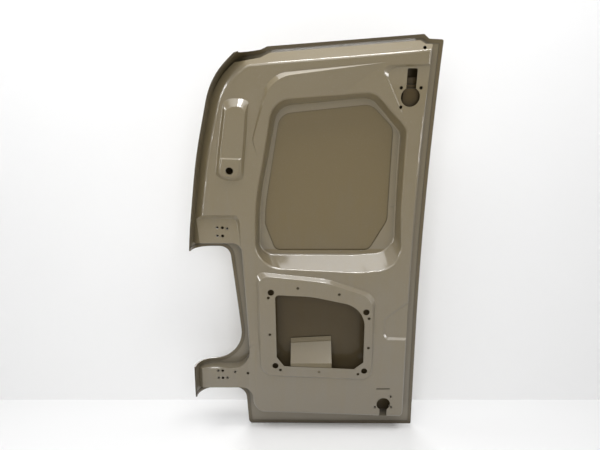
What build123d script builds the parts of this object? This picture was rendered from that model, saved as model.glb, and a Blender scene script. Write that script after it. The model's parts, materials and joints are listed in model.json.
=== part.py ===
from build123d import *
import math
import os

os.makedirs("parts", exist_ok=True)

# Rear barn door of a campervan, bare pressed steel, seen from inside the vehicle.
# X runs to the closing edge, Z up, Y from the inside to the outside of the vehicle.
# The origin is on the flat face of the lower hinge pad.

# sheet and clearances
SHEET = 1.5
PLATE = 2.5
HEM_GAP = 0.4
HEM_WIDTH = 11.0

# side profile: upright below BEND_Z, then leaning in on one large radius
BEND_Z = 123.0
LEAN_RADIUS = 3640.0
DOOR_TOP = 1200.0
DOOR_FOOT = -300.0

# levels across the door, as Y in the upright part
SKIN = 42.0
LAND = -8.0
RIM = -25.0
WINDOW_FLANGE = 37.0
BLANK_DEPTH = 2.5

# hinge side
WRAP_RADIUS = 60.0
LUG_LOW = -72.5
LUG_HIGH = 40.0
UPPER_LUG = 452.0
LOWER_PAD_Y = 0.0
UPPER_PAD_Y = -22.0

# bevelled border of the inner panel on the hinge side and the top
BORDER_WIDTH = 31.0
BORDER_DEPTH = 16.0

# outside radii of the pressed folds: at the front of a form, and at its foot
BORDER_FOLD = 12.0
EDGE_FOLD = 8.0
SILL_FOLD = 14.0
WINDOW_FOLD = 7.0
WINDOW_FOOT = 5.0
FORM_FOLD = 4.0
FORM_FOOT = 4.0

# raised and sunk forms of the inner panel
SEAT_TILT = 2.2
SEAT_RISE = 4.0
BOSS_RISE = 9.0
BOSS_SLOPE = 0.9
BOSS_RAMP = 2.4
STAY_PAD_RISE = 2.5
POCKET_DEPTH = 4.5
LATCH_PAD_LEAN = 0.18
SURROUND_TIP = 3.3
SURROUND_TURN = 2.5

HINGE_HOLE_R = 4.75
CLIP_HOLE_R = 4.75
PLUG_HOLE_R = 10.5
STAY_HOLE_R = 11.0
STAY_DISC_R = 19.0
STAY_CLEARANCE = 1.0


def lean(z):
    """How far the door has leaned in at a height."""
    if z < BEND_Z:
        return 0.0
    return LEAN_RADIUS - math.sqrt(LEAN_RADIUS**2 - (z - BEND_Z) ** 2)


def outline(corners):
    """A face from corners (x, z, radius) given anticlockwise, with rounded corners."""
    count = len(corners)
    starts = []
    edges = []
    for i in range(count):
        before = Vector(*corners[i - 1][:2])
        here = Vector(*corners[i][:2])
        after = Vector(*corners[(i + 1) % count][:2])
        into = (here - before).normalized()
        away = (after - here).normalized()
        turn = math.atan2(into.X * away.Y - into.Y * away.X, into.dot(away))
        radius = corners[i][2]
        reach = radius * math.tan(abs(turn) / 2)
        first = here - into * reach
        last = here + away * reach
        middle = None
        if reach > 0.01:
            inward = (away - into).normalized()
            middle = here + inward * (radius / math.cos(turn / 2) - radius)
        starts.append((first, middle, last))
    for i in range(count):
        first, middle, last = starts[i]
        if middle is not None:
            edges.append(Edge.make_three_point_arc(first, middle, last))
        edges.append(Edge.make_line(last, starts[(i + 1) % count][0]))
    return Face(Wire(edges))


def shifted(corners, offsets):
    """Corners of an outline whose side i, from corner i on, moves inward by offsets[i]."""
    count = len(corners)
    moved = []
    for i in range(count):
        before = Vector(*corners[i - 1][:2])
        here = Vector(*corners[i][:2])
        after = Vector(*corners[(i + 1) % count][:2])
        into = (here - before).normalized()
        away = (after - here).normalized()
        a = here + Vector(-into.Y, into.X) * offsets[i - 1]
        b = here + Vector(-away.Y, away.X) * offsets[i]
        cross = into.X * away.Y - into.Y * away.X
        along = ((b.X - a.X) * away.Y - (b.Y - a.Y) * away.X) / cross
        point = a + into * along
        inset = (offsets[i - 1] + offsets[i]) / 2
        radius = corners[i][2] - math.copysign(inset, cross) if corners[i][2] > 0 else 0.0
        moved.append((point.X, point.Y, max(radius, 0.0)))
    return moved


def prism(corners, front, back):
    """A straight block through the door from one Y to another."""
    face = Plane.XZ.offset(-back) * outline(corners)
    return extrude(face, amount=back - front)


def slab(front, back, left=-250.0, right=800.0):
    """The space between two levels of the door's side profile."""
    angle = math.degrees(math.asin((DOOR_TOP - BEND_Z) / LEAN_RADIUS))
    near = CenterArc((front - LEAN_RADIUS, BEND_Z), LEAN_RADIUS, 0, angle)
    far = CenterArc((back - LEAN_RADIUS, BEND_Z), LEAN_RADIUS, 0, angle)
    border = [
        near,
        Line(near @ 1, far @ 1),
        far,
        Line(far @ 0, (back, DOOR_FOOT)),
        Line((back, DOOR_FOOT), (front, DOOR_FOOT)),
        Line((front, DOOR_FOOT), near @ 0),
    ]
    return extrude(Plane.YZ.offset(left) * make_face(border), amount=right - left)


def drill(x, z, radius, front=-260.0, back=36.0):
    """A round cutter along Y."""
    return Plane.XZ.offset(-back) * Pos(x, z) * extrude(Circle(radius), amount=back - front)


# outline of the outer skin, anticlockwise seen from inside the vehicle
SKIN_OUTLINE = [
    (76, -217, 14),
    (662, -220, 5),
    (662, 1079, 6),
    (621, 1081, 5),
    (606, 1093, 8),
    (168, 1061.5, 12),
    (150, 1053, 12),
    (100, 1043.5, 30),
    (80, 1038, 0),
    (10, 975, 220),
    (-50, 752, 1500),
    (-97, UPPER_LUG, 0),
    (27, UPPER_LUG, 37),
    (55, 170, 150),
    (66, LUG_HIGH, 100),
    (-100, LUG_HIGH, 0),
    (-98.5, LUG_LOW, 0),
    (67, LUG_LOW, 42),
]
# sides of that outline which wrap forward round the corner of the vehicle
WRAPPED = {8, 9, 10, 15}
# the corner of the vehicle that they follow, running past both ends of the door
CORNER_LINE = [
    (-100, -290, 0),
    (790, -290, 0),
    (790, 1180, 0),
    (237.8, 1180, 0),
    (10, 975, 220),
    (-50, 752, 1500),
    (-97, UPPER_LUG, 1500),
]


def corner_body(inset):
    """All that lies inside the outer surface by inset, past the door's edges on the plain sides."""
    back = SKIN + SHEET - inset
    corners = shifted(CORNER_LINE, [0, 0, 0] + [inset] * 4)
    body = prism(corners, -300, 120) & slab(RIM, back)
    rear = []
    for edge in body.edges():
        middle = edge @ 0.5
        on_back = abs(middle.Y - back + lean(middle.Z)) < 0.5
        if on_back and middle.X < 240 and -285 < middle.Z < 1175:
            rear.append(edge)
    return fillet(rear, WRAP_RADIUS - inset)


def skin_prism(inset):
    """The door's outline, drawn in by inset on its plain sides, right through the door."""
    sides = [0 if i in WRAPPED else inset for i in range(len(SKIN_OUTLINE))]
    return prism(shifted(SKIN_OUTLINE, sides), -300, 120)


# where the bevelled border of the land starts, running past its ends
BORDER_LINE = [
    (-94, -290, 0),
    (790, -290, 0),
    (790, 1087.7, 0),
    (100, 1035.2, 60),
    (15, 969, 214),
    (-44, 752, 1494),
    (-92, 472, 1500),
]


# chain of plain sides from the lower lug round the bottom to the closing edge
PLAIN_LINE = [
    (-240, -52, 0),
    (95, -52, 40),
    (99, -146, 50),
    (621, -166, 22),
    (623, 1190, 0),
    (-240, 1190, 0),
]
# the foot of the land, running past both ends
FOOT_LINE = [
    (-240, -133, 0),
    (790, -172.5, 0),
    (790, 1190, 0),
    (-240, 1190, 0),
]
# the gap between the lugs, where the tail lamp sits
LAMP_LINE = [
    (-240, 22, 0),
    (90, 22, 60),
    (84, 170, 150),
    (70, 472, 30),
    (-240, 472, 0),
]
# joggled top edge
TOP_LINE = [
    (-240, -290, 0),
    (790, -290, 0),
    (790, 1060, 0),
    (604, 1063, 6),
    (590, 1072.5, 10),
    (176, 1041, 15),
    (150, 1028, 20),
    (92, 1018, 40),
    (-240, 1010, 0),
]

# window recess: corners on the land, then the matching corners on its floor
WINDOW_MOUTH = [
    (114, 392, 90),
    (456, 369, 300),
    (592, 388, 80),
    (576, 590, 400),
    (574.5, 833, 40),
    (472, 936, 60),
    (183, 911.5, 65),
    (121, 612, 700),
]
WINDOW_FLOOR = [
    (125, 424, 50),
    (433, 419.5, 300),
    (570, 433, 70),
    (567, 590, 400),
    (563.5, 822, 36),
    (470, 924, 52),
    (193, 899.5, 58),
    (132, 612, 700),
]
# cut edge of the window flange
WINDOW_EDGE = [
    (178, 438, 25),
    (487, 438, 30),
    (543, 540, 60),
    (541.5, 836, 40),
    (472, 905, 50),
    (199, 877, 45),
    (150, 600, 600),
    (145.5, 530, 25),
]

# top of the seat round the access opening
SEAT_OUTLINE = [
    (128, 2, 50),
    (504, -14, 35),
    (500, 286.5, 65),
    (344, 341, 245),
    (126, 365.4, 30),
]
ACCESS_OUTLINE = [
    (181, 70, 4),
    (206, 36, 4),
    (445, 24.5, 4),
    (476, 50, 4),
    (475.5, 252, 85),
    (300, 291, 300),
    (178, 297.5, 12),
]
# top of the boss beside the window, and of the pad round its hole
BOSS_OUTLINE = [
    (11, 691, 31),
    (78, 680, 31),
    (103, 898, 20),
    (47, 898, 26),
]
STAY_PAD_OUTLINE = [
    (18, 697, 25),
    (72, 688, 25),
    (80, 746, 5),
    (27, 748, 5),
]
# floors of the sunk forms
UPPER_PAD_OUTLINE = [
    (-240, 420, 0),
    (74, 420, 0),
    (58, 554, 18),
    (-240, 554, 0),
]
LOWER_PAD_OUTLINE = [
    (-240, -120, 0),
    (82, -120, 0),
    (82, 90, 0),
    (-240, 90, 0),
]
POCKET_OUTLINE = [
    (556, 140, 6),
    (650, 137, 0),
    (650, 287, 0),
    (547.5, 203.5, 8),
    (548.5, 152, 8),
]
LOCK_PLATE_OUTLINE = [
    (557, 145, 6),
    (612, 144, 6),
    (612, 246, 6),
    (557, 202, 6),
]
LATCH_PAD_FOOT = 862.0
LATCH_PAD_OUTLINE = [
    (600, 790, 0),
    (660, 790, 0),
    (660, 1007, 0),
    (494, 1001.5, 25),
]
# raised surround above the window, turned about its far end
SURROUND_END = (470, 995)
SURROUND_OUTLINE = [
    (155, 735, 0),
    (330, 735, 0),
    (480, 880, 0),
    (480, 996.5, 0),
    (187, 969, 95),
    (138, 802, 60),
]
UPPER_HINGE_HOLES = [(-4, 497), (13, 497), (-4, 524), (13, 524), (28, 521)]
LOWER_HINGE_HOLES = [(-22, -15), (-7, -15), (-22, 12), (-7, 12), (8.5, -15), (36, 7), (80, 2.6)]
STAY_HOLE = (47.5, 711)
CLIP_HOLES = [
    (156, 287.5),
    (490, 213),
    (459, 5.5),
    (193, 22),
    (253, 321),
    (389, 299),
    (159, 155),
    (491.5, 105),
    (325, 14.5),
    (602, 1053),
]
PLUG_HOLES = [(164.5, 306), (480, 236), (480, 17.5), (176, 38)]
BRACKET_ENDS = [(228, 98), (368, 106)]
TOP_LATCH = (575, 923)
TOP_LATCH_HOLES = [(547, 948), (603, 948), (550, 895)]
LOW_LATCH = (551, -112)
LOW_LATCH_HOLES = [(522.5, -124), (579, -124), (576, -83)]


def level_edges(block, level, left, right, low, high, place=Location()):
    """Edges of a block that lie on one level of the door, inside a frame seen from the front."""
    found = []
    for edge in block.edges():
        ends = [place.inverse() * Pos(edge @ t) for t in (0.0, 0.5, 1.0)]
        start, middle, end = [end.position for end in ends]
        seam = abs(start.Z - BEND_Z) < 0.01 and abs(end.Z - BEND_Z) < 0.01
        on_level = abs(middle.Y - level + lean(middle.Z)) < 0.3
        if on_level and left < middle.X < right and low < middle.Z < high and not seam:
            found.append(edge)
    return found


def chord_plane(low, high, level):
    """The plane through a level of the door at two heights, facing into the vehicle."""
    tilt = math.atan2(lean(high) - lean(low), high - low)
    middle = (low + high) / 2
    y = level - (lean(low) + lean(high)) / 2
    return Plane((0, y, middle), x_dir=(1, 0, 0), z_dir=(0, -math.cos(tilt), -math.sin(tilt)))


def on_plane(plane, corners, level):
    """Corners given as x, z on a level of the door, as corners in a plane facing it."""
    placed = []
    for x, z, radius in corners:
        point = plane.to_local_coords(Vector(x, level - lean(z), z))
        placed.append((point.X, point.Y, radius, point.Z))
    return placed


def frustum(plane, corners, near, far, slopes):
    """A block with sloping sides: corners at one depth, each side spreading by its slope to another."""
    wide = shifted(corners, [-slope * abs(far - near) for slope in slopes])
    return loft([plane.offset(near) * outline(corners), plane.offset(far) * outline(wide)], ruled=True)


def slack(inset, slope):
    """How far a sloping side moves in its own floor plane when the sheet is set back by inset."""
    return inset * (math.sqrt(1 + slope**2) - slope)


def depth_edges(block, plane, depth):
    """Edges of a block that lie at one depth over a plane."""
    return [e for e in block.edges() if abs(plane.to_local_coords(e @ 0.5).Z - depth) < 0.2]


def plan_box(corners, spread):
    """Left, right, low and high bounds of an outline grown by spread."""
    xs = [c[0] for c in corners]
    zs = [c[1] for c in corners]
    return min(xs) - spread, max(xs) + spread, min(zs) - spread, max(zs) + spread


def land_block(inset):
    """The block behind the plain land of the inner panel."""
    return slab(LAND + inset, SKIN + 20)


def sunk(inset, plane, corners, slope, reach):
    """The hollow of a flat-floored form sunk into the land, its floor folds rounded."""
    floor = plane.offset(-inset)
    sides = [-slack(inset, slope)] * len(corners)
    cutter = frustum(floor, shifted(corners, sides), 0, reach, [slope] * len(corners))
    return fillet(depth_edges(cutter, floor, 0), FORM_FOOT + inset)


def raised(inset, plane, corners, height, slopes, root=-12.0):
    """A flat-topped form standing on the land, rooted below it, its folds rounded."""
    top = shifted(corners, [slack(inset, slope) for slope in slopes])
    block = frustum(plane, top, height - inset, root - inset, slopes)
    return fillet(depth_edges(block, plane, height - inset), FORM_FOLD - inset)


def footed(inset, block, corners, spreads):
    """A raised form with the land close round it and a rounded foot between them."""
    form = land_block(inset) + block
    foot = level_edges(form, LAND + inset, *plan_box(corners, max(spreads)))
    form = fillet(foot, FORM_FOOT + inset)
    return form & prism(shifted(corners, [-spread for spread in spreads]), -300, LAND + 30)


def window_recess(inset):
    """The cutter for the window recess, with a rounded foot."""
    plane = chord_plane(380, 925, LAND)
    mouth = on_plane(plane, WINDOW_MOUTH, LAND)
    floor = on_plane(plane, WINDOW_FLOOR, WINDOW_FLANGE - SHEET)
    faces = []
    for depth in (30.0, -80.0):
        corners = []
        for a, b in zip(mouth, floor):
            share = (depth - a[3]) / (b[3] - a[3])
            mixed = [a[k] + (b[k] - a[k]) * share for k in range(3)]
            corners.append((mixed[0], mixed[1], max(mixed[2], 8.0)))
        corners = shifted(corners, [-1.05 * inset] * len(corners))
        faces.append(plane.offset(depth) * outline(corners))
    bottom = WINDOW_FLANGE - SHEET + inset
    cutter = loft(faces, ruled=True) & slab(-200, bottom)
    return fillet(level_edges(cutter, bottom, *plan_box(WINDOW_FLOOR, 15)), WINDOW_FOOT + inset)


def window_block(inset, place=Location()):
    """The land with the window recess in it; place turns the land but not the recess."""
    block = place * land_block(inset) - window_recess(inset)
    mouth = level_edges(block, LAND + inset, *plan_box(WINDOW_MOUTH, 15), place)
    return fillet(mouth, WINDOW_FOLD - inset)


def border_block(inset):
    """The land with its bevelled border on the hinge side and the top."""
    front = LAND + inset
    block = prism(shifted(BORDER_LINE, [0, 0] + [inset] * 5), -300, 120) & land_block(inset)
    curved = [f for f in block.faces() if f.geom_type == GeomType.CYLINDER and f.radius > 3000]
    face = sorted(curved, key=lambda f: f.center().Y)[0]
    edge = [e for e in face.edges() if abs((e @ 0.5).Z - 640) < 100 and (e @ 0.5).X < 0][0]
    block = chamfer([edge], BORDER_WIDTH, BORDER_DEPTH, reference=face)
    chain = [e for e in level_edges(block, front, -90, 780, -280, 1080) if (e @ 0.5).X + (e @ 0.5).Z / 4 < 60]
    return fillet(chain, BORDER_FOLD - inset)


def plain_block(inset):
    """The land with its folds along the lower lug, the foot and the closing edge."""
    front = LAND + inset
    block = prism(shifted(PLAIN_LINE, [inset] * 6), -300, 120) & land_block(inset)
    block = fillet(level_edges(block, front, -235, 640, -280, 1185), EDGE_FOLD - inset)
    sill = prism(shifted(FOOT_LINE, [inset, 0, 0, 0]), -300, 120) & land_block(inset)
    return block & fillet(level_edges(sill, front, -200, 780, -280, -100), SILL_FOLD - inset)


def lamp_block(inset):
    """The land with its fold round the gap for the tail lamp."""
    block = land_block(inset) - prism(shifted(LAMP_LINE, [-inset] * 5), -300, 120)
    return fillet(level_edges(block, LAND + inset, -235, 120, 0, 500), EDGE_FOLD - inset)


def surround(inset):
    """The raised surround above the window, fading out at both ends."""
    x, z = SURROUND_END
    pivot = Pos(x, LAND - lean(z), z)
    place = pivot * Rot(SURROUND_TIP, 0, SURROUND_TURN) * pivot.inverse()
    plane = chord_plane(735, 996, LAND)
    corners = [c[:3] for c in on_plane(plane, SURROUND_OUTLINE, LAND)]
    sides = [0, 0, 0, slack(inset, 0.9), slack(inset, 0.9), slack(inset, 0.9)]
    tool = frustum(plane, shifted(corners, sides), 20, -20, [0.9] * 6)
    return window_block(inset, place) & tool


def leaning_plane(level, z, lean_angle):
    """A flat plane through a level of the door at a height, facing into the vehicle."""
    facing = (0, -math.cos(lean_angle), -math.sin(lean_angle))
    return Plane((0, level - lean(z), z), x_dir=(1, 0, 0), z_dir=facing)


SEAT = leaning_plane(LAND, 0, math.radians(SEAT_TILT))
LATCH_PAD = leaning_plane(LAND, LATCH_PAD_FOOT, math.atan(LATCH_PAD_LEAN))
along_pad = math.hypot(1, LATCH_PAD_LEAN)
LATCH_PAD_FLOOR = [(x, (z - LATCH_PAD_FOOT) * along_pad, r) for x, z, r in LATCH_PAD_OUTLINE]
BOSS = chord_plane(670, 920, LAND)
POCKET = chord_plane(130, 275, LAND + POCKET_DEPTH)
UPPER_PAD = leaning_plane(UPPER_PAD_Y, 0, 0)
LOWER_PAD = leaning_plane(LOWER_PAD_Y, 0, 0)


def panel_die(inset):
    """The block whose front is the inner panel's shape, set back by inset."""
    pocket_floor = [c[:3] for c in on_plane(POCKET, POCKET_OUTLINE, LAND + POCKET_DEPTH)]
    boss_top = [c[:3] for c in on_plane(BOSS, BOSS_OUTLINE, LAND)]
    pad_top = [c[:3] for c in on_plane(BOSS, STAY_PAD_OUTLINE, LAND)]

    die = border_block(inset) & plain_block(inset) & lamp_block(inset)
    die &= prism(shifted(TOP_LINE, [inset] * 9), -300, 120)
    die -= sunk(inset, UPPER_PAD, UPPER_PAD_OUTLINE, 1.0, 40)
    die -= sunk(inset, LOWER_PAD, LOWER_PAD_OUTLINE, 3.0, 20)
    die -= sunk(inset, POCKET, pocket_floor, 2.0, 15)
    die -= sunk(inset, LATCH_PAD, LATCH_PAD_FLOOR, 1.0, 20)
    die &= window_block(inset)
    die += surround(inset)

    form = raised(inset, BOSS, boss_top, BOSS_RISE, [BOSS_SLOPE, BOSS_SLOPE, BOSS_RAMP, BOSS_SLOPE])
    die += footed(inset, form, BOSS_OUTLINE, [12, 12, 26, 12])
    die += raised(inset, BOSS, pad_top, BOSS_RISE + STAY_PAD_RISE, [1.5] * 4, BOSS_RISE - 1)

    form = raised(inset, SEAT, SEAT_OUTLINE, SEAT_RISE, [0.9] * 5)
    die += footed(inset, form, SEAT_OUTLINE, [14] * 5)
    return die


def rectangle(x0, z0, x1, z1, radius=0.0):
    return [(x0, z0, radius), (x1, z0, radius), (x1, z1, radius), (x0, z1, radius)]


def keyhole(x, z, bulb, width, reach):
    """A latch opening: a round hole with a slot running up or down from it."""
    low, high = sorted((z, z + reach))
    slot = prism(rectangle(x - width / 2, low, x + width / 2, high, 4), -260, 36)
    return drill(x, z, bulb) + slot


def weld_nuts(places, seat, height=6.5, across=13.0, bore=3.4):
    """Hexagon weld nuts standing on the back of a plate at Y = seat."""
    nuts = []
    for x, z in places:
        hexagon = RegularPolygon(across / 2, 6, major_radius=False) - Circle(bore)
        nuts.append(Plane.XZ.offset(-seat - height) * Pos(x, z) * extrude(hexagon, amount=height))
    return Compound(nuts)


# outer skin, hemmed over the inner panel's flange on its plain sides
hem_in = 3 * SHEET + 2 * HEM_GAP
blank = shifted(WINDOW_EDGE, [-16] * 8)
blank_in = shifted(WINDOW_EDGE, [-16 - SHEET] * 8)
shell = corner_body(0) & skin_prism(0)
outside = shell - (prism(blank, -300, 120) & slab(SKIN + SHEET - BLANK_DEPTH, SKIN + 60))
inside = corner_body(SHEET) - (prism(blank_in, -300, 120) & slab(SKIN - BLANK_DEPTH, SKIN + 60))
skin = outside - inside
hem_edge = (shell - corner_body(hem_in)) - skin_prism(SHEET)
hem_fold = ((corner_body(hem_in - SHEET) - corner_body(hem_in)) & skin_prism(0)) - skin_prism(HEM_WIDTH)
skin = skin + hem_edge + hem_fold
export_step(skin, "parts/outer_skin.step")

# inner panel
bed = SHEET + HEM_GAP
flange = (corner_body(bed) - corner_body(bed + SHEET)) & skin_prism(bed) & slab(RIM + 6, SKIN + 5)
panel = ((panel_die(0) & corner_body(bed)) + flange) - panel_die(SHEET)
cutters = [prism(WINDOW_EDGE, -300, 120), prism(ACCESS_OUTLINE, -60, 36)]
cutters += [keyhole(*TOP_LATCH, 27, 28, 77), keyhole(*LOW_LATCH, 23.5, 25, -48)]
cutters += [prism(rectangle(524, -55, 572, -51, 1.9), -60, 36)]
cutters += [drill(x, z, HINGE_HOLE_R) for x, z in UPPER_HINGE_HOLES + LOWER_HINGE_HOLES]
cutters += [drill(x, z, CLIP_HOLE_R) for x, z in CLIP_HOLES + TOP_LATCH_HOLES + LOW_LATCH_HOLES]
cutters += [drill(x, z, PLUG_HOLE_R) for x, z in PLUG_HOLES]
stay_x, stay_z = on_plane(BOSS, [(*STAY_HOLE, 0)], LAND)[0][:2]
stay_axis = BOSS * Pos(stay_x, stay_z)
cutters.append(stay_axis * Cylinder(STAY_HOLE_R + STAY_CLEARANCE, 40))
panel -= cutters
export_step(panel, "parts/inner_panel.step")

# hinge reinforcements behind the pads
upper_seat = UPPER_PAD_Y + SHEET
upper_plate = prism(rectangle(-55, 480, 50, 545, 8), upper_seat, upper_seat + PLATE)
for x, z in UPPER_HINGE_HOLES:
    upper_plate -= drill(x, z, HINGE_HOLE_R)
export_step(upper_plate, "parts/upper_hinge_reinforcement.step")
nuts = weld_nuts([(-4, 497), (-4, 524), (28, 521)], upper_seat + PLATE)
export_step(nuts, "parts/upper_hinge_weld_nuts.step")

lower_seat = LOWER_PAD_Y + SHEET
lower_plate = prism(rectangle(-50, -40, 62, 18, 8), lower_seat, lower_seat + PLATE)
for x, z in LOWER_HINGE_HOLES:
    lower_plate -= drill(x, z, HINGE_HOLE_R)
export_step(lower_plate, "parts/lower_hinge_reinforcement.step")
nuts = weld_nuts([(-22, -15), (-22, 12), (8.5, -15), (36, 7)], lower_seat + PLATE)
export_step(nuts, "parts/lower_hinge_weld_nuts.step")

# reinforcement and stepped backing behind the upper latch pad
top_latch = LATCH_PAD.offset(-SHEET) * extrude(outline(rectangle(535, 18, 613, 134, 8)), amount=-PLATE)
top_latch -= keyhole(*TOP_LATCH, 29, 32, 80)
for x, z in TOP_LATCH_HOLES:
    top_latch -= drill(x, z, CLIP_HOLE_R)
export_step(top_latch, "parts/top_latch_reinforcement.step")
step_path = Polyline(
    (2, -SHEET - 1.3),
    (13, -SHEET - 1.3),
    (25, -15),
    (83, -15),
    (84, -20),
    (93, -20),
    (94, -25),
    (113, -25),
)
across = Plane(LATCH_PAD.from_local_coords(Vector(556, 0, 0)), x_dir=LATCH_PAD.y_dir, z_dir=LATCH_PAD.x_dir)
backing = extrude(across * trace(step_path, line_width=2), amount=56)
export_step(backing, "parts/top_latch_backing.step")

# reinforcement behind the lower latch opening
land_back = LAND + SHEET
low_latch = prism(rectangle(508, -146, 594, -62, 8), land_back, land_back + PLATE)
low_latch -= keyhole(*LOW_LATCH, 26, 29, -60)
for x, z in LOW_LATCH_HOLES:
    low_latch -= drill(x, z, CLIP_HOLE_R)
export_step(low_latch, "parts/bottom_latch_reinforcement.step")
nuts = weld_nuts(LOW_LATCH_HOLES, land_back + PLATE)
export_step(nuts, "parts/bottom_latch_weld_nuts.step")

# lock reinforcement behind the pocket beside the closing edge
lock_outline = [c[:3] for c in on_plane(POCKET, LOCK_PLATE_OUTLINE, LAND + POCKET_DEPTH)]
lock_plate = POCKET.offset(-SHEET) * extrude(outline(lock_outline), amount=-PLATE)
export_step(lock_plate, "parts/lock_reinforcement.step")

# stiffening disc behind the stay hole
disc = extrude(Circle(STAY_DISC_R) - Circle(STAY_HOLE_R), amount=-PLATE)
disc = stay_axis * Pos(0, 0, BOSS_RISE + STAY_PAD_RISE - SHEET) * disc
export_step(disc, "parts/stay_reinforcement.step")

# folded bracket from the inner panel below the access opening back to the skin
seat_back = LAND - SEAT_RISE + SHEET + 1.3
fall = math.tan(math.radians(SEAT_TILT))
ends = []
for x, top in BRACKET_ENDS:
    path = Polyline(
        (seat_back, 2),
        (seat_back - 44 * fall, 46),
        (36, top),
        (SKIN - 3, top + 2),
        (SKIN - 3, top + 18),
    )
    ends.append(Plane.YZ.offset(x) * trace(path, line_width=2))
bracket = loft(ends, ruled=True)
export_step(bracket, "parts/handle_bracket.step")

# waist rail glued to the skin below the window
rail_path = Polyline(
    (37 - lean(306), 306),
    (37 - lean(320), 320),
    (20 - lean(325), 325),
    (20 - lean(347), 347),
    (37 - lean(352), 352),
    (37 - lean(366), 366),
)
rail = extrude(Plane.YZ.offset(150) * trace(rail_path, line_width=SHEET), amount=440)
export_step(rail, "parts/waist_rail.step")
dabs = []
for x in (190, 300, 410, 520):
    for z in (313, 359):
        dabs.append(slab(37 + SHEET / 2 + 0.1, SKIN) & drill(x, z, 8, back=60))
export_step(Compound(dabs), "parts/waist_rail_mastic.step")
bead = slab(WINDOW_FLANGE, SKIN - BLANK_DEPTH)
bead &= prism(shifted(WINDOW_EDGE, [-12] * 8), -300, 120)
bead -= prism(shifted(WINDOW_EDGE, [-5] * 8), -300, 120)
export_step(bead, "parts/window_mastic.step")
pads = [slab(SKIN - 2, SKIN) & drill(x, z, 6, back=60) for x, z in ((250, 109), (298, 112), (346, 115))]
export_step(Compound(pads), "parts/bracket_mastic.step")
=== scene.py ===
"""Looks of a bare campervan rear barn door: dipped primer on pressed steel, in a pale studio."""

import json
import math

import bpy
from bpy.props import FloatProperty, FloatVectorProperty, PointerProperty
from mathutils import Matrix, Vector


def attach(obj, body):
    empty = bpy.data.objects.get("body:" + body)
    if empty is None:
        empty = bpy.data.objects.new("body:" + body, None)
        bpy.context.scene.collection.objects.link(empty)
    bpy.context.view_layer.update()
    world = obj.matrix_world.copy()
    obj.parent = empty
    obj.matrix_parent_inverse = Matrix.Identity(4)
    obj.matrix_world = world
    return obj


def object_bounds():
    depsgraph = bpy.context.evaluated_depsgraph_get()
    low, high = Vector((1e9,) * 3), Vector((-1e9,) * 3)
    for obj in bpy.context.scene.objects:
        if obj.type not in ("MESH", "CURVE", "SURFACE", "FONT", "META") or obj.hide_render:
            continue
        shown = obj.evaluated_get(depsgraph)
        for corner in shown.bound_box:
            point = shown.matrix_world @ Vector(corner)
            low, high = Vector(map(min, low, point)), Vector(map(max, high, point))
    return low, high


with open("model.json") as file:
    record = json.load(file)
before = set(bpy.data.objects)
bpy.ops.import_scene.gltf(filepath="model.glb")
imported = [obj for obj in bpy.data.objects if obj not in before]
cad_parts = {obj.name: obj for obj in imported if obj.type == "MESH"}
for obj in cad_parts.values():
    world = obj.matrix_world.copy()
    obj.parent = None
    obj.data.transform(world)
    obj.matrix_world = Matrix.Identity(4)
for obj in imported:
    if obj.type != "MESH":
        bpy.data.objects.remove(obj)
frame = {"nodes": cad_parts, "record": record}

bl_info = {
    "name": "Campervan rear barn door",
    "version": (1, 0, 0),
    "blender": (4, 5, 0),
    "location": "View3D > Sidebar > Barn door",
    "description": "Primer, beads and studio for a bare pressed-steel rear door",
    "category": "3D View",
}

# lengths are in metres, unless a name ends in MM
CAD_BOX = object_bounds()

# side profile: upright below a height, then an arc that leans inward
LEAN_RADIUS = 3.64
LEAN_START = 0.123

# how far out the skin's hem, window field and inside lie at most, with the lean taken off
HEM_LEVEL = 0.0387
WINDOW_LEVEL = 0.0406
INSIDE_LEVEL = 0.0428
# a face looks into the vehicle where its normal along Y is below this
FACING_IN = -0.5
# places of the skin's shaded copies of the primer, its painted shade, in its list of materials
HEM_INDEX = 1
WINDOW_INDEX = 2
CAVITY_INDEX = 3

# beads of primer on the window flange: across, up, half sizes
FLANGE_LEVEL = 0.0355
BEADS = (
    (0.3956, 0.4370, (0.0045, 0.0018, 0.0016)),
    (0.4621, 0.4370, (0.0055, 0.0018, 0.0016)),
    (0.1410, 0.5656, (0.0060, 0.0008, 0.0010)),
    (0.5535, 0.5860, (0.0070, 0.0008, 0.0010)),
)
# a bead of unit size is drawn in above its shoulder
BEAD_SHOULDER = 0.3
BEAD_TOP = (0.8, 0.8, 1.0)

# blotches, runs and grain of the primer
MOTTLE_SIZE = 0.16
RUN_LENGTH = 0.30
RUN_STRETCH = (14.0, 14.0, 1.0)
DUST_SIZE = 0.004
DUST_SHARE = 0.35
DUST_PALENESS = 1.25
DUST_DULLING = 0.4
PEEL_SIZE = 0.0022
PEEL_SHARE = 0.04
WAVE_SIZE = 0.10
WAVE_HEIGHT = 0.0010
# heights over which a painted reflection of the white floor greys the primer low on the door and fades
# out higher up
FLOOR_SHEEN_HEIGHTS = (-0.25, 0.75)
COAT_ROUGHNESS = 0.08
PRIMER_SPECULAR = 0.3

# painted shade on the flange strip under the window field, as dark as the field: where it starts, is
# full, fades and ends
LEDGE_ACROSS = (0.12, 0.13, 0.57, 0.58)
LEDGE_HEIGHT = (0.4255, 0.4280, 0.4405, 0.4440)
LEDGE_DEPTH = (0.0195, 0.0215)

# painted shade in tight corners and creases
CORNER_REACH = 0.045
CORNER_OPENNESS = (0.15, 0.9)
CORNER_SHADE = 0.25

# weld nuts and mastic
NUT_MOTTLE_SIZE = 0.006
NUT_VEIL = (0.4, 0.65)
PUCKER_SIZE = 0.005
PUCKER_HEIGHT = 0.0006
PUCKER_PALENESS = 1.6

# studio
DOOR_MIDDLE = 0.3
PAPER_SIZE = 8.0
SENSOR_WIDTH_MM = 36.0
SEEN_RAYS = ("Is Camera Ray", "Is Glossy Ray", "Is Transmission Ray")
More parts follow.
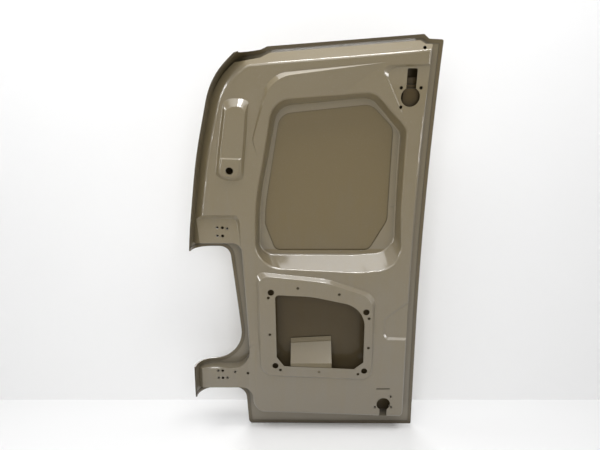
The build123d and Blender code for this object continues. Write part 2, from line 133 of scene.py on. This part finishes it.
# lamps: name, place, what they face, width and height, whether they show in glossy paint only
LAMPS = (
    ("strip", (0.46, -2.0, 1.8), (0.3, -0.1, 0.7), (1.05, 0.4), True),
    ("ceiling", (0.1, -0.8, 2.9), (0.1, -0.79, 0.0), (3.0, 1.8), False),
    ("front", (0.1, -3.2, 1.7), (0.3, -0.1, 0.5), (3.0, 2.0), False),
    ("back", (0.3, 3.0, 1.7), (0.3, 0.0, 0.5), (2.5, 1.5), False),
    ("side", (-1.9, -1.3, 0.7), (0.3, -0.05, 0.5), (0.3, 1.6), True),
    ("side", (2.5, -1.3, 0.7), (0.3, -0.05, 0.5), (0.3, 1.6), True),
)


def lean(z):
    """How far the door leans inward at a height."""
    return LEAN_RADIUS - math.sqrt(LEAN_RADIUS**2 - max(z - LEAN_START, 0.0)**2)


def colour(paint):
    """A colour as a shader's four numbers."""
    return (*paint, 1.0)


def shaded(paint, shade):
    """A colour with a share of each of its channels left, as painted shade."""
    return tuple(share * channel for share, channel in zip(shade, paint))


def scaled(paint, factor):
    """A colour made lighter or darker, within white."""
    return tuple(min(1.0, factor * channel) for channel in paint)


class Tap:
    """One socket of a node tree, so that maths on sockets reads as plain sums."""

    def __init__(self, wiring, socket):
        self.wiring = wiring
        self.socket = socket

    def _math(self, operation, first, second):
        return self.wiring.add("ShaderNodeMath", {"operation": operation}, {0: first, 1: second})

    def __add__(self, other):
        return self._math("ADD", self, other)

    def __radd__(self, other):
        return self._math("ADD", other, self)

    def __sub__(self, other):
        return self._math("SUBTRACT", self, other)

    def __rsub__(self, other):
        return self._math("SUBTRACT", other, self)

    def __mul__(self, other):
        return self._math("MULTIPLY", self, other)

    def __rmul__(self, other):
        return self._math("MULTIPLY", other, self)


class Wiring:
    """A node tree under construction."""

    def __init__(self, tree):
        self.nodes = tree.nodes
        self.links = tree.links

    def add(self, kind, settings=None, inputs=None, output=0):
        """Adds a node, sets it up, feeds its sockets and gives back one output, or several in a tuple."""
        node = self.nodes.new(kind)
        for key, value in (settings or {}).items():
            setattr(node, key, value)
        for key, value in (inputs or {}).items():
            self.feed(node.inputs[key], value)
        if isinstance(output, tuple):
            return tuple(Tap(self, node.outputs[name]) for name in output)
        return Tap(self, node.outputs[output])

    def feed(self, socket, value):
        """Links a socket to a tap, or sets it to a plain value."""
        if isinstance(value, Tap):
            self.links.new(value.socket, socket)
        else:
            socket.default_value = value


class Finish(Wiring):
    """A material under construction, with its main shader at hand."""

    def __init__(self, name):
        self.material = bpy.data.materials.new(name)
        self.material.use_nodes = True
        super().__init__(self.material.node_tree)
        self.shader = self.nodes["Principled BSDF"]

    def give(self, socket, value):
        """Feeds one socket of the main shader."""
        self.feed(self.shader.inputs[socket], value)

    def place(self, stretch=(1.0, 1.0, 1.0)):
        """The piece's own coordinates in metres, stretched along its axes."""
        point = self.add("ShaderNodeTexCoord", output="Object")
        return self.add("ShaderNodeMapping", {}, {"Vector": point, "Scale": stretch})

    def clouds(self, size, detail=3.0, roughness=0.5, stretch=(1.0, 1.0, 1.0)):
        """Soft noise whose blotches are about size metres across."""
        inputs = {
            "Vector": self.place(stretch),
            "Scale": 1.0 / size,
            "Detail": detail,
            "Roughness": roughness,
        }
        return self.add("ShaderNodeTexNoise", {}, inputs)

    def between(self, value, low, high):
        """Where a value lies from low to high, as 0 to 1."""
        inputs = {"Value": value, "From Min": low, "From Max": high}
        return self.add("ShaderNodeMapRange", {"clamp": True}, inputs)

    def within(self, value, start, full, fading, end):
        """1 where a value lies from full to fading, easing to 0 at start and at end."""
        return self.between(value, start, full) * (1.0 - self.between(value, fading, end))

    def blend(self, share, first, second):
        """A colour between two others."""
        inputs = {"Factor": share, "A": first, "B": second}
        return self.add("ShaderNodeMix", {"data_type": "RGBA"}, inputs, output="Result")

    def bumps(self, height, depth):
        """A normal from heights between 0 and 1 that stand depth metres high."""
        return self.add("ShaderNodeBump", {}, {"Height": height, "Distance": depth, "Strength": 1.0})


class DoorLooks(bpy.types.PropertyGroup):
    """Colours and gloss of the door's finishes"""

    primer_warm: FloatVectorProperty(
        name="Warm primer", description="Primer on the upper part of the door",
        subtype="COLOR", size=3, min=0.0, max=1.0, default=(0.180, 0.141, 0.073),
    )
    # the grey primer low on the door is a painted reflection of the white floor; it also colours the dust
    # and the primer veil on the weld nuts
    primer_grey: FloatVectorProperty(
        name="Grey primer", description="Primer where it lies thin, low on the door",
        subtype="COLOR", size=3, min=0.0, max=1.0, default=(0.176, 0.152, 0.111),
    )
    primer_roughness: FloatProperty(
        name="Primer roughness", description="Roughness of the semi-gloss primer",
        subtype="FACTOR", min=0.05, max=1.0, default=0.40,
    )
    primer_coat: FloatProperty(
        name="Primer coat", description="How far the primer has flowed out to a glossy skin",
        subtype="FACTOR", min=0.0, max=1.0, default=0.85,
    )
    # painted shade: the folded hem, sunk behind the inner panel, keeps this share of the primer colour
    hem_shade: FloatVectorProperty(
        name="Hem tint", description="Share of the primer colour left on the folded hem",
        subtype="COLOR", size=3, min=0.0, max=1.0, default=(0.66, 0.63, 0.58),
    )
    # painted shade: the window field, sunk behind the inner panel, keeps this share of the primer colour;
    # the strip under the window and the handle bracket take it too
    window_shade: FloatVectorProperty(
        name="Window tint", description="Share of the primer colour left on the skin in the window",
        subtype="COLOR", size=3, min=0.0, max=1.0, default=(0.82, 0.77, 0.62),
    )
    # painted shade: inside the door, seen through its openings, the primer keeps this share of its colour
    cavity_shade: FloatVectorProperty(
        name="Cavity tint", description="Share of the primer colour left inside the door",
        subtype="COLOR", size=3, min=0.0, max=1.0, default=(0.42, 0.37, 0.28),
    )
    nut_steel: FloatVectorProperty(
        name="Nut steel", description="Plated steel of the weld nuts",
        subtype="COLOR", size=3, min=0.0, max=1.0, default=(0.30, 0.28, 0.24),
    )
    mastic_grey: FloatVectorProperty(
        name="Mastic", description="Cured anti-flutter mastic",
        subtype="COLOR", size=3, min=0.0, max=1.0, default=(0.055, 0.052, 0.048),
    )


class DoorStage(bpy.types.PropertyGroup):
    """Camera, backdrop and lamps of the studio"""

    camera_place: FloatVectorProperty(
        name="Camera", description="Where the camera stands",
        subtype="TRANSLATION", unit="LENGTH", size=3, default=(0.260, -1.511, 0.863),
    )
    camera_pitch: FloatProperty(
        name="Pitch", description="How far the camera looks down",
        subtype="ANGLE", unit="ROTATION", default=math.radians(12.5),
    )
    camera_lens: FloatProperty(
        name="Lens", description="Focal length on a 36 mm wide sensor",
        unit="CAMERA", default=28.8,
    )
    wall_gap: FloatProperty(
        name="Wall", description="How far behind the hinge pad the studio wall stands",
        subtype="DISTANCE", unit="LENGTH", default=0.19,
    )
    backdrop_white: FloatVectorProperty(
        name="Backdrop", description="Colour of the floor and wall",
        subtype="COLOR", size=3, min=0.0, max=1.0, default=(0.85, 0.85, 0.85),
    )
    strip_light: FloatProperty(
        name="Strip light", description="Narrow softbox above the camera, seen in the folds",
        unit="POWER", min=0.0, default=52.0,
    )
    ceiling_light: FloatProperty(
        name="Ceiling light", description="Large softbox over the door",
        unit="POWER", min=0.0, default=90.0,
    )
    side_light: FloatProperty(
        name="Side lights", description="Upright strips to the left and right, seen in the upright folds",
        unit="POWER", min=0.0, default=30.0,
    )
    front_light: FloatProperty(
        name="Front light", description="Large softbox behind the camera",
        unit="POWER", min=0.0, default=52.0,
    )
    back_light: FloatProperty(
        name="Back light", description="Softbox behind the door, for its outer side",
        unit="POWER", min=0.0, default=60.0,
    )
    room_light: FloatProperty(
        name="Room light", description="Even light of the white room",
        min=0.0, max=2.0, default=0.10,
    )


def primer_colour(finish, looks, shade, mottle, runs, dust):
    """Warm primer with pale dust, greyed low down by a painted reflection of the white floor, with
    painted shade on the strip under the window and in tight corners.
    """
    axes = finish.add("ShaderNodeSeparateXYZ", {}, {"Vector": finish.place()}, output=("X", "Y", "Z"))
    across, depth, height = axes
    warm = shaded(looks.primer_warm, shade)
    grey = shaded(looks.primer_grey, shade)
    # painted reflection of the white floor: the primer greys towards the bottom of the door, mixed with
    # random mottle and runs
    floor_sheen = 1.0 - finish.between(height, *FLOOR_SHEEN_HEIGHTS)
    share = finish.between(floor_sheen + 0.6 * mottle + 0.4 * runs, 0.1, 0.9)
    primer = finish.blend(share, colour(warm), colour(grey))
    dusty = DUST_SHARE * finish.between(dust, 0.60, 0.78)
    primer = finish.blend(dusty, primer, colour(scaled(grey, DUST_PALENESS)))
    # painted shade on the flange strip under the window, in the window field's shaded colour
    ledge_shade = finish.between(depth, *LEDGE_DEPTH) * finish.within(height, *LEDGE_HEIGHT)
    ledge_shade = ledge_shade * finish.within(across, *LEDGE_ACROSS)
    primer = finish.blend(ledge_shade, primer, colour(shaded(warm, looks.window_shade)))
    # painted shade in tight corners, darker where a point is closed in by nearby sheet
    reach = {"Distance": CORNER_REACH}
    openness = finish.add("ShaderNodeAmbientOcclusion", {"samples": 8}, reach, output="AO")
    lit = finish.between(openness, *CORNER_OPENNESS)
    return finish.blend(lit, colour(scaled(warm, CORNER_SHADE)), primer)


def primer_finish(looks, name, shade):
    """Semi-gloss dipped primer over sheet that is a little wavy, mottled and dusty, with faint runs,
    darkened by the given share as painted shade.
    """
    finish = Finish(name)
    mottle = finish.clouds(MOTTLE_SIZE, detail=5.0, roughness=0.6) - 0.5
    runs = finish.clouds(RUN_LENGTH, detail=4.0, stretch=RUN_STRETCH) - 0.5
    dust = finish.clouds(DUST_SIZE, detail=2.0)
    peel = finish.clouds(PEEL_SIZE, detail=2.0)
    waves = finish.clouds(WAVE_SIZE, detail=1.0)
    finish.give("Base Color", primer_colour(finish, looks, shade, mottle, runs, dust))
    finish.give("Roughness", looks.primer_roughness + 0.14 * mottle + 0.10 * runs)
    finish.give("Normal", finish.bumps(waves + PEEL_SHARE * peel, WAVE_HEIGHT))
    dulled = DUST_DULLING * finish.between(dust, 0.55, 0.8)
    finish.give("Coat Weight", min(shade) * (looks.primer_coat - dulled))
    finish.give("Coat Roughness", COAT_ROUGHNESS)
    finish.give("Specular IOR Level", PRIMER_SPECULAR * min(shade))
    return finish.material


def nut_finish(looks):
    """Plated steel under a thin veil of primer."""
    finish = Finish("plated_nut_steel")
    mottle = finish.clouds(NUT_MOTTLE_SIZE, detail=4.0)
    veil = finish.between(mottle, *NUT_VEIL)
    finish.give("Base Color", finish.blend(veil, colour(looks.nut_steel), colour(looks.primer_grey)))
    finish.give("Metallic", 0.8 - 0.6 * veil)
    finish.give("Roughness", 0.34 + 0.2 * mottle)
    return finish.material


def mastic_finish(looks):
    """Dull cured mastic with a puckered skin."""
    finish = Finish("cured_mastic")
    pucker = finish.clouds(PUCKER_SIZE, detail=3.0)
    pale = scaled(looks.mastic_grey, PUCKER_PALENESS)
    finish.give("Base Color", finish.blend(pucker, colour(looks.mastic_grey), colour(pale)))
    finish.give("Roughness", 0.6 + 0.25 * pucker)
    finish.give("Normal", finish.bumps(pucker, PUCKER_HEIGHT))
    return finish.material


def dress(node, material):
    """Gives a CAD node its finish."""
    piece = frame["nodes"][node]
    piece.data.materials.clear()
    piece.data.materials.append(material)


def shade_skin(hem, window, cavity):
    """Gives the skin's folded edge, its window field and its inside their shaded copies of the primer, as
    painted shade in those recesses.
    """
    skin = frame["nodes"]["outer_skin"].data
    for material in (hem, window, cavity):
        skin.materials.append(material)
    for face in skin.polygons:
        level = face.center.y + lean(face.center.z)
        if level < HEM_LEVEL:
            face.material_index = HEM_INDEX
        elif face.normal.y < FACING_IN and level < WINDOW_LEVEL:
            face.material_index = WINDOW_INDEX
        elif face.normal.y < FACING_IN and level < INSIDE_LEVEL:
            face.material_index = CAVITY_INDEX


class DOOR_OT_finishes(bpy.types.Operator):
    """Give every pressed and welded piece its finish"""

    bl_idname = "door.finishes"
    bl_label = "Finish the steel"

    def execute(self, context):
        looks = context.scene.door_looks
        finishes = {
            "primer": primer_finish(looks, "dipped_primer", (1.0, 1.0, 1.0)),
            "plated_steel": nut_finish(looks),
            "mastic": mastic_finish(looks),
        }
        for part in frame["record"]["subparts"]:
            dress(part["node"], finishes[part["material_slot"]])
        # painted shade: darker copies of the primer for the hem, the window field and the inside of the
        # door
        hem = primer_finish(looks, "hem_primer", looks.hem_shade)
        window = primer_finish(looks, "window_primer", looks.window_shade)
        cavity = primer_finish(looks, "cavity_primer", looks.cavity_shade)
        shade_skin(hem, window, cavity)
        # painted shade: the rail and latch backing inside the door take the cavity's shaded primer, the
        # handle bracket in the access opening that of the window field
        for node in ("waist_rail", "top_latch_backing"):
            dress(node, cavity)
        dress("handle_bracket", window)
        return {"FINISHED"}


class DOOR_OT_drips(bpy.types.Operator):
    """Add the beads of primer that hang on the window flange"""

    bl_idname = "door.drips"
    bl_label = "Add primer beads"

    def execute(self, context):
        drop = self.drop()
        beads = [self.bead(drop, x, z, size) for x, z, size in BEADS]
        bpy.data.objects.remove(drop)
        bpy.ops.object.select_all(action="DESELECT")
        for bead in beads:
            bead.select_set(True)
        context.view_layer.objects.active = beads[0]
        bpy.ops.object.join()
        piece = context.object
        piece.name = "primer_beads"
        bpy.ops.object.shade_smooth()
        piece.data.materials.append(bpy.data.materials["dipped_primer"])
        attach(piece, "root")
        return {"FINISHED"}

    def drop(self):
        """A bead of unit size, drawn in at its top so that it hangs heavier below."""
        bpy.ops.object.select_all(action="DESELECT")
        bpy.ops.mesh.primitive_uv_sphere_add(segments=24, ring_count=12, radius=1.0)
        piece = bpy.context.object
        bpy.ops.object.mode_set(mode="EDIT")
        bpy.ops.mesh.select_all(action="DESELECT")
        bpy.ops.object.mode_set(mode="OBJECT")
        for vertex in piece.data.vertices:
            vertex.select = vertex.co.z > BEAD_SHOULDER
        bpy.ops.object.mode_set(mode="EDIT")
        bpy.ops.transform.resize(value=BEAD_TOP, center_override=(0.0, 0.0, 0.0))
        bpy.ops.object.mode_set(mode="OBJECT")
        return piece

    def bead(self, drop, x, z, size):
        """A copy of the drop on the flange's front, at a place across and up the door."""
        piece = drop.copy()
        piece.data = drop.data.copy()
        bpy.context.scene.collection.objects.link(piece)
        piece.location = (x, FLANGE_LEVEL - lean(z), z)
        piece.scale = size
        bpy.ops.object.select_all(action="DESELECT")
        piece.select_set(True)
        bpy.context.view_layer.objects.active = piece
        bpy.ops.object.transform_apply(location=True, rotation=True, scale=True)
        return piece


def softbox(name, place, target, size, power, glint_only):
    """A rectangular lamp aimed at a point, which may show in glossy paint only."""
    lamp = bpy.data.lights.new(name, "AREA")
    lamp.shape = "RECTANGLE"
    lamp.size, lamp.size_y = size
    lamp.energy = power
    holder = bpy.data.objects.new(name, lamp)
    holder.location = place
    holder.rotation_mode = "QUATERNION"
    holder.rotation_quaternion = (Vector(target) - Vector(place)).to_track_quat("-Z", "Y")
    holder.visible_diffuse = not glint_only
    bpy.context.scene.collection.objects.link(holder)


def paper(stage):
    """Pale studio paper that is clear from behind, so that it never hides the door."""
    finish = Finish("studio_paper")
    finish.give("Base Color", colour(stage.backdrop_white))
    finish.give("Roughness", 0.9)
    behind = finish.add("ShaderNodeNewGeometry", output="Backfacing")
    clear = finish.add("ShaderNodeBsdfTransparent")
    front = Tap(finish, finish.shader.outputs["BSDF"])
    seen = finish.add("ShaderNodeMixShader", {}, {0: behind, 1: front, 2: clear})
    finish.feed(finish.nodes["Material Output"].inputs["Surface"], seen)
    return finish.material


def white_room(strength):
    """Even light from all sides, plain white to the camera and in glossy paint."""
    room = bpy.data.worlds.new("white_room")
    room.use_nodes = True
    wiring = Wiring(room.node_tree)
    camera, gloss, through = wiring.add("ShaderNodeLightPath", output=SEEN_RAYS)
    seen = {"Value": camera + gloss + through, "To Min": strength}
    glow = wiring.nodes["Background"]
    wiring.feed(glow.inputs["Color"], (1.0, 1.0, 1.0, 1.0))
    wiring.feed(glow.inputs["Strength"], wiring.add("ShaderNodeMapRange", {"clamp": True}, seen))
    return room


def photo_camera(stage):
    """The camera, level from side to side and tipped down at the door."""
    camera = bpy.data.objects.new("photo_camera", bpy.data.cameras.new("photo_camera"))
    camera.location = stage.camera_place
    camera.rotation_euler = (math.pi / 2 - stage.camera_pitch, 0.0, 0.0)
    camera.data.lens = stage.camera_lens
    camera.data.sensor_width = SENSOR_WIDTH_MM
    bpy.context.scene.collection.objects.link(camera)
    return camera


class DOOR_OT_stage(bpy.types.Operator):
    """Set up the pale studio, its lamps and the camera"""

    bl_idname = "door.stage"
    bl_label = "Set the stage"

    def execute(self, context):
        scene = context.scene
        stage = scene.door_stage
        scene.view_settings.view_transform = "Standard"
        floor = CAD_BOX[0].z
        material = paper(stage)
        self.sheet("studio_floor", (DOOR_MIDDLE, 0.0, floor), 0.0, material)
        wall_middle = (DOOR_MIDDLE, stage.wall_gap, floor + PAPER_SIZE / 2)
        wall = self.sheet("studio_wall", wall_middle, math.pi / 2, material)
        # the wall is only looked at: it sends no light back to the door and casts no shadow
        wall.visible_diffuse = False
        wall.visible_glossy = False
        wall.visible_shadow = False
        for name, place, target, size, glint_only in LAMPS:
            power = getattr(stage, f"{name}_light")
            softbox(f"{name}_softbox", place, target, size, power, glint_only)
        scene.world = white_room(stage.room_light)
        scene.camera = photo_camera(stage)
        return {"FINISHED"}

    def sheet(self, name, place, turn, material):
        """A wide flat sheet of paper, lying or standing, facing the door."""
        bpy.ops.object.select_all(action="DESELECT")
        bpy.ops.mesh.primitive_plane_add(size=PAPER_SIZE, location=place, rotation=(turn, 0.0, 0.0))
        piece = bpy.context.object
        piece.name = name
        bpy.ops.object.transform_apply(location=True, rotation=True, scale=True)
        piece.data.materials.append(material)
        return piece


class DOOR_PT_panel(bpy.types.Panel):
    """Lists the steps that dress the door"""

    bl_label = "Barn door"
    bl_idname = "DOOR_PT_panel"
    bl_space_type = "VIEW_3D"
    bl_region_type = "UI"
    bl_category = "Barn door"

    def draw(self, context):
        for step in STEPS:
            self.layout.operator(step.bl_idname)
        for group in (context.scene.door_looks, context.scene.door_stage):
            for name in group.bl_rna.properties.keys():
                if name not in ("rna_type", "name"):
                    self.layout.prop(group, name)


STEPS = (DOOR_OT_finishes, DOOR_OT_drips, DOOR_OT_stage)
CLASSES = (DoorLooks, DoorStage, *STEPS, DOOR_PT_panel)


def register():
    for cls in CLASSES:
        bpy.utils.register_class(cls)
    bpy.types.Scene.door_looks = PointerProperty(type=DoorLooks)
    bpy.types.Scene.door_stage = PointerProperty(type=DoorStage)


def unregister():
    del bpy.types.Scene.door_stage
    del bpy.types.Scene.door_looks
    for cls in reversed(CLASSES):
        bpy.utils.unregister_class(cls)


def main():
    register()
    bpy.ops.door.finishes()
    bpy.ops.door.drips()
    bpy.ops.door.stage()


if __name__ == "__main__":
    main()
